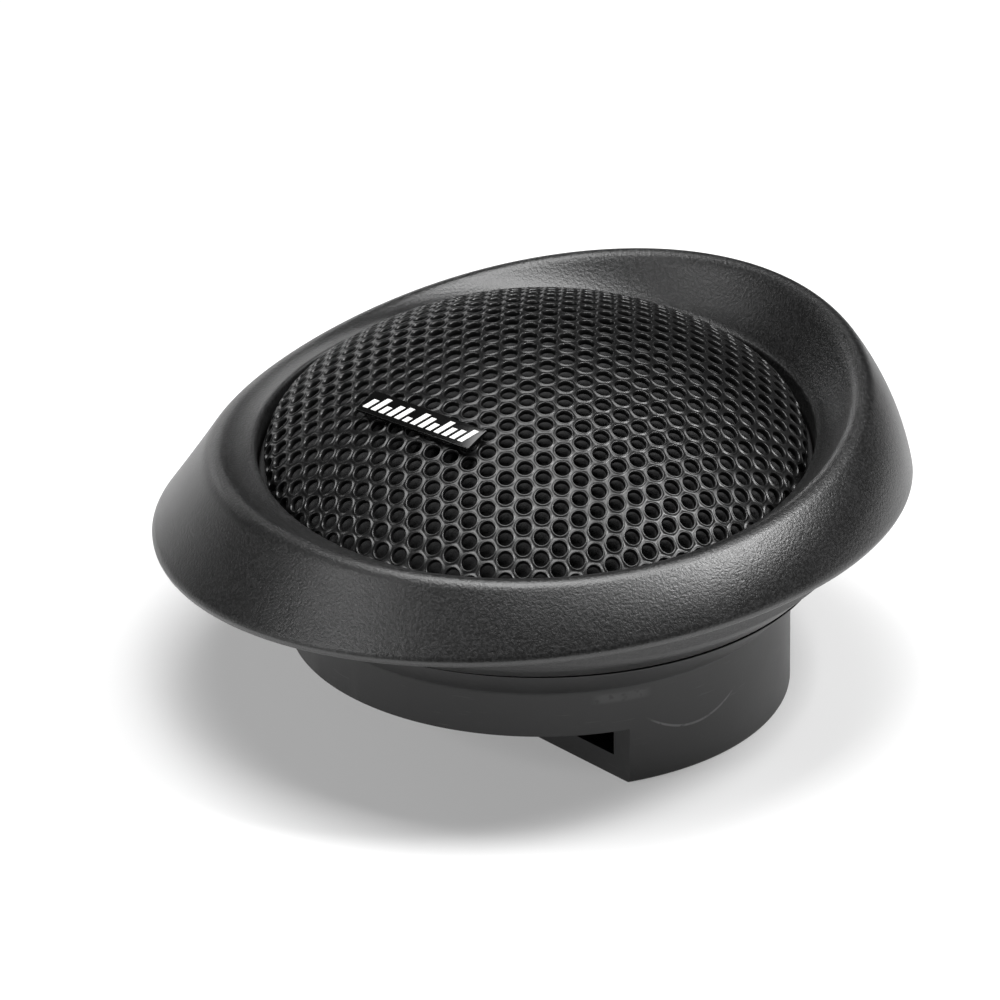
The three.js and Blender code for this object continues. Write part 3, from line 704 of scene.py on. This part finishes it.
# ---- Terminals and crossover capacitor ----
# A paper phenolic board with riveted brass tabs carries the leads, and a film capacitor in a blue
# shrink sleeve lies in the wiring chamber on its own tinned wires.
paper = Finish("paper_phenolic", Roughness=0.55)
paper_grain = paper.noise(0.5, 4.0, stretch=(1.0, 0.25, 1.0))
paper.set("Base Color", paper_grain.tint((0.13, 0.055, 0.02), (0.24, 0.11, 0.045)))
paper.set("Roughness", 0.45 + paper_grain * 0.2)
paper.bump((paper_grain, 0.03, 0.4))
repaint(paper, "terminal_board")

brass = Finish("stamped_brass", Metallic=1.0)
tarnish = brass.noise(1.1, 4.0)
brass.set("Base Color", tarnish.tint((0.42, 0.28, 0.09), (0.66, 0.48, 0.19)))
brass.set("Roughness", 0.20 + tarnish * 0.2)
brass.bump((tarnish, 0.02, 0.3))
repaint(brass, *[f"terminal_{kind}_{sign}" for kind in ("tab", "rivet") for sign in ("plus", "minus")])

tin = Finish("tinned_wire", Metallic=1.0)
tin_dull = tin.noise(0.5, 3.0)
tin.set("Base Color", tin_dull.tint((0.52, 0.52, 0.50), (0.70, 0.70, 0.67)))
tin.set("Roughness", 0.28 + tin_dull * 0.2)
tin.bump((tin_dull, 0.02, 0.4))
repaint(tin, "capacitor_lead_out", "capacitor_lead_in")

sleeve = Finish("shrink_sleeve", Roughness=0.3)
sleeve_tone = sleeve.noise(3.0, 2.0)
sleeve_skin = sleeve.noise(0.4, 3.0)
sleeve.set("Base Color", sleeve_tone.tint((0.008, 0.035, 0.15), (0.014, 0.055, 0.22)))
sleeve.set("Roughness", 0.22 + sleeve_skin * 0.14)
sleeve.bump((sleeve_skin, 0.03, 0.3))


def capacitor():
    low, high = (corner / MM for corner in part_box("crossover_capacitor"))
    middle = (low + high) / 2
    inset = 0.02
    half = (high.y - low.y) / 2 - inset
    radius = (high.x - low.x) / 2 - inset
    crimp = radius - 0.45
    sunk = 0.35
    profile = [(0.0, -half + sunk), (crimp - sunk, -half + sunk), (crimp, -half)]
    profile += [(crimp + 0.3, -half + 0.1), (radius - 0.06, -half + 0.5), (radius, -half + 1.1)]
    profile.append((radius - 0.05, -half + 2.2))
    profile = [*profile, *[(r, -z) for r, z in reversed(profile)]]
    points, faces = capped(profile, 96)
    lying = [(middle.x + x, middle.y - z, middle.z + y) for x, y, z in points]
    piece = mesh_piece("capacitor_sleeved", lying, faces, sleeve, "housing", "capacitor_film")
    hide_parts("crossover_capacitor")


capacitor()


# ---- Bezel ring ----
# The slanted trim ring: a moulded shell with a mouth for the grille, a bowl that opens towards the
# back right, a rolled crest and a flared skirt whose edge lies on the panel. Spark-textured finish.
BEZEL_X = -0.3
BEZEL_BOTTOM = 12.3
CONE_TOP = 26.2
MOUTH_RADIUS = 23.0
MOUTH_SHELF_RADIUS = 24.0
MOUTH_LEVEL = 21.85
MOUTH_LEAN = (0.029, 0.048)
SEAT_RIDGE_RADIUS = 27.0
CREST_RADIUS = 26.9
CREST = {"level": 24.2, "right_rise": 3.25, "back_rise": 1.25, "twist": 1.13}
CREST_DIP = {"depth": 0.45, "angle": 2.45, "sharpness": 8}
SKIRT_RADIUS = 31.35
SKIRT_SHIFT = -0.3
SKIRT_WALL = 1.75
SKIRT_EDGE = {"level": 15.4, "right_rise": 2.76, "back_rise": -1.55, "twist": 0.0}
SKIRT_ROUND = {"inner": 0.5, "outer": 0.8}
SLOPE_SWELL = {"level": 0.3, "side": 0.45, "angle": 0.35, "outward": 0.8, "upward": 0.6}
MOUTH_LIP = {"out": 0.25, "drop": 0.4}
BOWL_SAG = 0.15


def ring_height(ring, angle):
    """The height of one of the bezel's slanted rings at an angle round it."""
    tilt = ring["level"] + ring["right_rise"] * math.cos(angle) + ring["back_rise"] * math.sin(angle)
    return tilt + ring["twist"] * math.sin(2 * angle)


def mouth_height(angle):
    x, y = MOUTH_RADIUS * math.cos(angle), MOUTH_RADIUS * math.sin(angle)
    return MOUTH_LEVEL + (MOUTH_LEAN[0] * x + MOUTH_LEAN[1] * y)


def crest_height(angle):
    facing = max(0.0, math.cos(angle - CREST_DIP["angle"]))
    return ring_height(CREST, angle) - CREST_DIP["depth"] * facing ** CREST_DIP["sharpness"]


def slope_swell(angle):
    return SLOPE_SWELL["level"] + SLOPE_SWELL["side"] * math.cos(angle - SLOPE_SWELL["angle"])


def bezel_section():
    """Points as (mouth, crest, skirt, out, up, swell): shares of the three rings, then offsets."""
    middle = (CREST_RADIUS + SKIRT_RADIUS) / 2
    cone_height = BEZEL_BOTTOM + CONE_TOP - MOUTH_SHELF_RADIUS
    section = [
        (0, 0, 0, MOUTH_RADIUS, BEZEL_BOTTOM, 0),
        (0, 0, 0, MOUTH_SHELF_RADIUS, BEZEL_BOTTOM, 0),
        (0, 0, 0, CONE_TOP, cone_height, 0),
        (0, 0.5, 0.5, CONE_TOP - middle, 0.2, 0),
        (0, 0.5, 0.5, SEAT_RIDGE_RADIUS - middle, 0.4, 0),
    ]
    inner, outer = SKIRT_ROUND["inner"], SKIRT_ROUND["outer"]
    roll = 8
    for i in range(roll + 1):
        turn = math.pi * i / (2 * roll)
        out = -SKIRT_WALL + inner * (1 - math.cos(turn))
        section.append((0, 0, 1, out, inner * (1 - math.sin(turn)), 0))
    for i in range(roll + 1):
        turn = math.pi * i / (2 * roll)
        section.append((0, 0, 1, -outer * (1 - math.sin(turn)), outer * (1 - math.cos(turn)), 0))
    slope = 14
    slope_end = 0.86
    for i in range(1, slope):
        part = slope_end * i / slope
        section.append((0, part, 1 - part, 0, outer * (1 - part), 4 * part * (1 - part)))
    rounding = 12
    slope_share = 0.16
    bowl_share = 0.25
    for i in range(rounding + 1):
        t = i / rounding
        skirt = slope_share * (1 - t) ** 2
        mouth = bowl_share * t ** 2
        section.append((mouth, 1 - mouth - skirt, skirt, 0, outer * skirt, 4 * skirt * (1 - skirt)))
    lip = MOUTH_LIP["out"]
    bowl = 8
    for i in range(1, bowl):
        mouth = bowl_share + (1 - bowl_share) * i / bowl
        section.append((mouth, 1 - mouth, 0, lip * i / bowl, -BOWL_SAG * math.sin(math.pi * i / bowl), 0))
    lip_steps = 4
    for i in range(lip_steps + 1):
        turn = math.pi * i / (2 * lip_steps)
        section.append((1, 0, 0, lip * (1 - math.sin(turn)), -MOUTH_LIP["drop"] * (1 - math.cos(turn)), 0))
    return section


def bezel_ring(segments=288):
    section = bezel_section()
    points = []
    for k in range(segments):
        angle = 2 * math.pi * k / segments
        heights = (mouth_height(angle), crest_height(angle), ring_height(SKIRT_EDGE, angle))
        for mouth, crest, skirt, out, up, swell in section:
            lift = swell * slope_swell(angle)
            radius = mouth * MOUTH_RADIUS + crest * CREST_RADIUS + skirt * SKIRT_RADIUS + out
            radius += SLOPE_SWELL["outward"] * lift
            height = mouth * heights[0] + crest * heights[1] + skirt * heights[2] + up
            height += SLOPE_SWELL["upward"] * lift
            x = BEZEL_X + radius * math.cos(angle) + skirt * SKIRT_SHIFT
            points.append((x, radius * math.sin(angle), height))
    return points, turned([(0, 0)] * len(section), segments)[1]


bezel_plastic = Finish("spark_textured_plastic", Specular_IOR_Level=0.7)
spark = bezel_plastic.noise(0.24, 3.0, 0.65)
bezel_mottle = bezel_plastic.noise(7.0, 3.0)
bezel_dust = bezel_plastic.specks(2.6, 0.07) + bezel_plastic.specks(6.5, 0.12) * 0.6
bezel_fleck = bezel_mottle * 0.3 + spark.band(0.42, 0.66) * 0.7
bezel_colour = bezel_fleck.tint((0.001, 0.001, 0.001), (0.021, 0.021, 0.0213))
bezel_plastic.set("Base Color", (bezel_dust * 0.5).towards((0.20, 0.20, 0.20), bezel_colour))
bezel_plastic.set("Roughness", 0.27 + bezel_mottle * 0.06 + spark * 0.12)
bezel_plastic.bump((spark, 0.06, 0.75), (bezel_mottle, 0.12, 0.12))

bezel = mesh_piece("bezel_shell", *bezel_ring(), bezel_plastic, "housing", "bezel_plastic", smooth=50.0)
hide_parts("bezel_ring")


# ---- Grille ----
# Steel sheet punched with 1.3 mm holes on a 1.8 mm triangular pitch, pressed into a shallow dome with
# a turned-down edge, and painted satin black. Paint fills out a rounded lip round each hole.
GRILLE_RADIUS = 22.4
GRILLE_CENTRE = 5.65
GRILLE_SEMI = (29.88, 24.0)
GRILLE_FOOT = 19.8
GRILLE_LEAN = (0.021, 0.103)
SHEET = 0.5
PITCH = 1.817
HOLE = 0.64
# The painted face round a hole as (radius, height) steps, from the web up over the lip, down the
# hole's wall and out over a small chamfer at the back.
WEB = -0.07
LIP = [
    (0.87, WEB),
    (0.80, -0.02),
    (0.73, 0.0),
    (0.675, -0.04),
    (HOLE, -0.15),
    (HOLE, -SHEET + 0.08),
    (0.70, -SHEET),
]
PATTERN_TURN = math.radians(-1.5)
PATTERN_SHIFT = (1.04, 2.06)


def lean(points):
    """Points of the mouth's parts moved onto the bezel's axis and leant back with the grille."""
    return [(x + BEZEL_X, y, z + GRILLE_LEAN[0] * x + GRILLE_LEAN[1] * y) for x, y, z in points]


def domed_face(edge, foot, depth, bend=1.2):
    """A domed face's [radius, height] line, sunk by a depth, from its apex round a bend to its foot."""
    radius_limit, height_limit = (size - depth for size in GRILLE_SEMI)

    def height(r):
        return GRILLE_CENTRE + height_limit * math.sqrt(1 - (r / radius_limit) ** 2)

    start = edge - bend
    steps = 120
    line = [(start * i / steps, height(start * i / steps)) for i in range(steps + 1)]
    slope = (height(start) - height(start - 0.01)) / 0.01
    corner = height(start) + slope * bend
    drop = corner - 0.6 * bend
    line += curve((start, height(start)), (edge, corner), (edge, drop), 8)[1:]
    hem_steps = 4
    line += [(edge, drop + (foot - drop) * i / hem_steps) for i in range(1, hem_steps + 1)]
    return line


def hole_centres(reach, turn):
    """The holes' centres on the flat sheet by column and row, as far out as whole hexagons fit."""
    column_step = PITCH * math.sqrt(3) / 2
    span = int(reach / column_step) + 3
    kept = {}
    for column in range(-span, span + 1):
        for row in range(-2 * span, 2 * span + 1):
            centre = turn @ np.array([column * column_step, (row + 0.5 * column) * PITCH]) + PATTERN_SHIFT
            if np.hypot(*centre) < reach - PITCH / math.sqrt(3):
                kept[column, row] = centre
    return kept


def punched_sheet(kept, turn, sides=24):
    """Points and faces of the flat sheet: one hexagon round each hole, with an edge where it ends."""
    angles = np.arange(sides) * 2 * math.pi / sides
    hexagon = PITCH / 2 / np.cos(angles % (math.pi / 3) - math.pi / 6)
    rings = [(hexagon, WEB), *[(np.full(sides, r), h) for r, h in LIP], (hexagon, -SHEET)]
    neighbours = [(1, 0), (0, 1), (-1, 1), (-1, 0), (0, -1), (1, -1)]
    flat = []
    faces = []
    for (column, row), centre in kept.items():
        start = len(flat)
        for radius, height in rings:
            for angle, r in zip(angles, radius):
                u, v = centre + turn @ np.array([r * math.cos(angle), r * math.sin(angle)])
                flat.append((u, v, height))
        for ring in range(len(rings)):
            closing = ring == len(rings) - 1
            for k in range(sides):
                side = int((k + 0.5) // (sides / 6))
                if closing and (column + neighbours[side][0], row + neighbours[side][1]) in kept:
                    continue
                here = start + ring * sides
                there = start if closing else here + sides
                after = (k + 1) % sides
                faces.append((here + k, here + after, there + after, there + k))
    return np.array(flat), faces


def punched_dome():
    """The punched sheet pressed to the dome's line, and leant back in the bezel's mouth."""
    line = np.array(domed_face(GRILLE_RADIUS, GRILLE_FOOT, 0.0))
    ahead = np.gradient(line, axis=0)
    outward = np.stack([-ahead[:, 1], ahead[:, 0]], 1) / np.linalg.norm(ahead, axis=1)[:, None]
    along = np.concatenate([[0.0], np.cumsum(np.linalg.norm(np.diff(line, axis=0), axis=1))])
    cosine, sine = math.cos(PATTERN_TURN), math.sin(PATTERN_TURN)
    turn = np.array([[cosine, -sine], [sine, cosine]])
    flat, faces = punched_sheet(hole_centres(along[-1], turn), turn)
    out = np.hypot(flat[:, 0], flat[:, 1])
    around = np.arctan2(flat[:, 1], flat[:, 0])
    radius = np.interp(out, along, line[:, 0]) + flat[:, 2] * np.interp(out, along, outward[:, 0])
    height = np.interp(out, along, line[:, 1]) + flat[:, 2] * np.interp(out, along, outward[:, 1])
    points = np.stack([radius * np.cos(around), radius * np.sin(around), height], 1)
    return lean(points.tolist()), faces


grille_paint = Finish("grille_paint", Specular_IOR_Level=0.4)
paint_grain = grille_paint.noise(0.12, 2.0)
paint_mottle = grille_paint.noise(3.0, 3.0)
grille_paint.set("Base Color", paint_mottle.tint((0.004, 0.004, 0.0041), (0.008, 0.008, 0.0081)))
grille_paint.set("Roughness", 0.27 + paint_mottle * 0.10)
grille_paint.bump((paint_grain, 0.02, 0.5))

WELD = 0.008 * MM
points, faces = punched_dome()
grille = mesh_piece("grille_perforated", points, faces, grille_paint, "housing", "grille_steel", 60.0)
welded = bmesh.new()
welded.from_mesh(grille.data)
bmesh.ops.remove_doubles(welded, verts=welded.verts, dist=WELD)
bmesh.ops.recalc_face_normals(welded, faces=welded.faces)
welded.to_mesh(grille.data)
welded.free()
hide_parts("grille_mesh")


# ---- Acoustic cloth and its retainer ----
# A round cut of thin black non-woven cloth, pressed warm to the dome's shape, keeps dust out. A
# moulded ring under it holds the cloth and the grille's edge in the bezel's mouth.
CLOTH_RADIUS = 21.2
CLOTH_DEPTH = 1.2
CLOTH_THICKNESS = 0.35
CLOTH_GAP = 0.12
CLOTH_BEND = 0.9
RETAINER = {"bore": 20.6, "radius": 22.85, "bottom": 18.0, "top": 19.6}

fleece = Finish("acoustic_fleece", Roughness=0.95, Sheen_Weight=0.15, Specular_IOR_Level=0.2)
fibre = fleece.noise(0.30, 5.0, 0.75, distortion=2.0)
fleece.set("Base Color", fibre.tint((0.006, 0.006, 0.006), (0.030, 0.030, 0.031)))
fleece.bump((fibre, 0.12, 0.9))


def cloth():
    foot = RETAINER["top"] + CLOTH_GAP
    outside = domed_face(CLOTH_RADIUS, foot, CLOTH_DEPTH, CLOTH_BEND)
    inside = domed_face(CLOTH_RADIUS - CLOTH_THICKNESS, foot, CLOTH_DEPTH + CLOTH_THICKNESS, CLOTH_BEND)
    points, faces = capped([*inside, *reversed(outside)], 144)
    piece = mesh_piece("acoustic_cloth", lean(points), faces, fleece, "housing", "acoustic_cloth")
    area = sum(math.pi * (a[0] + b[0]) * math.dist(a, b) for a, b in zip(outside, outside[1:]))
    cut_width = 2 * math.sqrt(area / math.pi)
    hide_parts("dust_cloth")
    area * MM * MM


cloth()


def retainer():
    bore, radius, bottom, top = (RETAINER[key] for key in ("bore", "radius", "bottom", "top"))
    outline = [(bore, bottom), (radius, bottom), (radius, top), (bore, top), (bore, bottom)]
    roll = 0.2
    profile = rounded(outline, roll)[1:-1]
    points, faces = turned([*profile, (bore, bottom + roll), (bore + roll, bottom)], RING_SEGMENTS)
    piece = mesh_piece("retainer_ring", lean(points), faces, cup_plastic, "housing", "cup_plastic")
    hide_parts("grille_retainer")


retainer()


# ---- Badge ----
# A thin flat gloss-black plate stuck on the grille, square to the dome at its middle, with a plain
# motif of slanted off-white bars printed thick on it.
BADGE = {"length": 12.1, "height": 2.35, "thickness": 0.42, "slant": 0.2, "lift": 0.1, "underside": 0.01}
BADGE_PLACE = (-9.3, -7.0)
BADGE_TURN = math.radians(-39.6)
BARS = {"count": 13, "half_width": 0.26, "spread": 0.84, "reach": 0.66, "slant": 0.45, "print": 0.05}
BAR_RISE = {"least": 0.34, "swing": 0.66, "start": 0.55, "step": 1.15}

gloss = Finish("badge_lacquer", Specular_IOR_Level=0.35)
lacquer = gloss.noise(1.5, 2.0)
gloss.set("Base Color", lacquer.tint((0.0025, 0.0025, 0.0025), (0.0045, 0.0045, 0.0045)))
gloss.set("Roughness", 0.10 + lacquer * 0.08)
gloss.bump((lacquer, 0.01, 0.1))

ink = Finish("off_white_ink", Roughness=0.5)
ink_patch = ink.noise(0.5, 3.0)
ink.set("Base Color", ink_patch.tint((0.74, 0.74, 0.73), (0.84, 0.84, 0.83)))
ink.set("Roughness", 0.42 + ink_patch * 0.15)
ink.bump((ink_patch, 0.01, 0.3))


def badge_frame():
    """Where the badge's underside lies: its middle, then its length, height and outward directions."""
    x, y = BADGE_PLACE
    level = math.sqrt(1 - (x * x + y * y) / GRILLE_SEMI[0] ** 2)
    steepness = GRILLE_SEMI[1] / GRILLE_SEMI[0] ** 2 / level
    out = Vector((x * steepness - GRILLE_LEAN[0], y * steepness - GRILLE_LEAN[1], 1.0)).normalized()
    along = Vector((math.cos(BADGE_TURN), math.sin(BADGE_TURN), 0.0))
    along = (along - along.dot(out) * out).normalized()
    height = GRILLE_CENTRE + GRILLE_SEMI[1] * level
    middle = Vector(lean([(x, y, height)])[0])
    return middle + BADGE["lift"] * out, along, out.cross(along), out


def slanted_slab(low, high, slant):
    """A slab between two corners in the badge's own length, height and thickness, leaning by a slant."""
    middle, along, up, out = badge_frame()
    corners, faces = block(low, high)
    placed = [middle + (x + slant * y) * along + y * up + z * out for x, y, z in corners]
    return [tuple(p) for p in placed], faces


half_length = BADGE["length"] / 2
half_height = BADGE["height"] / 2
plate_low = (-half_length, -half_height, BADGE["underside"])
plate_high = (half_length, half_height, BADGE["thickness"])
badge_slant = BADGE["slant"] / BADGE["height"]
badge_slab = slanted_slab(plate_low, plate_high, badge_slant)
badge = mesh_piece("badge_face", *badge_slab, gloss, "housing", "badge_gloss")
break_edges(badge, 0.07)
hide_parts("badge_plate")

bar_points = []
bar_faces = []
first_bar = -BARS["spread"] * half_length
for bar in range(BARS["count"]):
    place = first_bar - 2 * first_bar * bar / (BARS["count"] - 1)
    rise = BAR_RISE["least"] + BAR_RISE["swing"] * abs(math.sin(BAR_RISE["start"] + BAR_RISE["step"] * bar))
    top = (-BARS["reach"] + 2 * BARS["reach"] * rise) * half_height
    low = (place - BARS["half_width"], -BARS["reach"] * half_height, BADGE["thickness"])
    high = (place + BARS["half_width"], top, BADGE["thickness"] + BARS["print"])
    points, faces = slanted_slab(low, high, BARS["slant"])
    bar_faces += [tuple(len(bar_points) + i for i in face) for face in faces]
    bar_points += points
mesh_piece("badge_bars", bar_points, bar_faces, ink, "housing", "badge_gloss")
